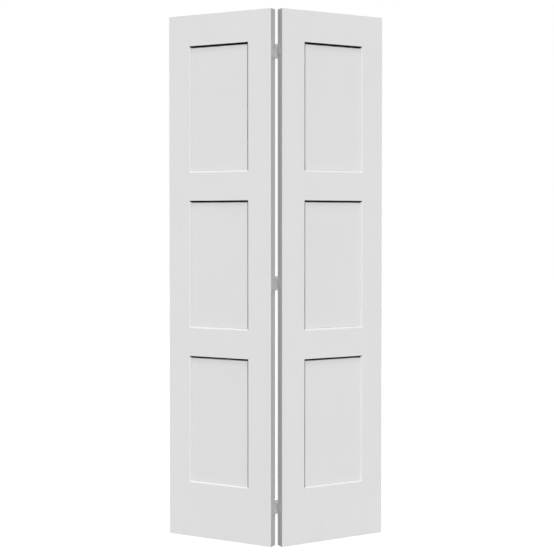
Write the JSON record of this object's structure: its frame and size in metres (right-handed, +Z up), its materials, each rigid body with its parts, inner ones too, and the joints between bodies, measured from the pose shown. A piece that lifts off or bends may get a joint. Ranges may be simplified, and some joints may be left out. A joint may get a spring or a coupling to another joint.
{
  "type": "bifold closet door",
  "caption": "Two-leaf bifold closet door of white primed stile-and-rail leaves with flat recessed panels, hinged edge to edge and part folded.",
  "frame": {"origin": "centre of the footprint of the part-folded door, on the floor", "axes": "+Z up; -Y is the room side, where the hinged edges point; +X to the right as seen from the room"},
  "size_m": [0.8254, 0.248, 2.0066],
  "materials": {
    "white_primer": "factory primed, smooth matte",
    "tenon_wood": "raw beech",
    "hinge_steel": "matte off-white paint",
    "pin_steel": "satin nickel plate",
    "screw_steel": "satin nickel plate"
  },
  "bodies": {
    "pivot_leaf": {"bottom_hinge_outer_plate": "hinge_steel", "bottom_hinge_pin": "pin_steel", "middle_hinge_outer_plate": "hinge_steel", "middle_hinge_pin": "pin_steel", "pivot_leaf_bottom_panel": "white_primer", "pivot_leaf_bottom_rail": "white_primer", "pivot_leaf_hinge_screws": "screw_steel", "pivot_leaf_hinge_stile": "white_primer", "pivot_leaf_jamb_stile": "white_primer", "pivot_leaf_loose_tenons": "tenon_wood", "pivot_leaf_lower_rail": "white_primer", "pivot_leaf_middle_panel": "white_primer", "pivot_leaf_top_panel": "white_primer", "pivot_leaf_top_rail": "white_primer", "pivot_leaf_upper_rail": "white_primer", "top_hinge_outer_plate": "hinge_steel", "top_hinge_pin": "pin_steel"},
    "lead_leaf": {"bottom_hinge_inner_plate": "hinge_steel", "lead_leaf_bottom_panel": "white_primer", "lead_leaf_bottom_rail": "white_primer", "lead_leaf_guide_stile": "white_primer", "lead_leaf_hinge_screws": "screw_steel", "lead_leaf_hinge_stile": "white_primer", "lead_leaf_loose_tenons": "tenon_wood", "lead_leaf_lower_rail": "white_primer", "lead_leaf_middle_panel": "white_primer", "lead_leaf_top_panel": "white_primer", "lead_leaf_top_rail": "white_primer", "lead_leaf_upper_rail": "white_primer", "middle_hinge_inner_plate": "hinge_steel", "top_hinge_inner_plate": "hinge_steel"}
  },
  "joints": [
    {"name": "fold", "type": "hinge", "parent": "pivot_leaf", "child": "lead_leaf", "pos_m": [0, -0.08973, 0], "axis": [0, 0, 1], "range_deg": [-58.3, 121.7]}
  ]
}
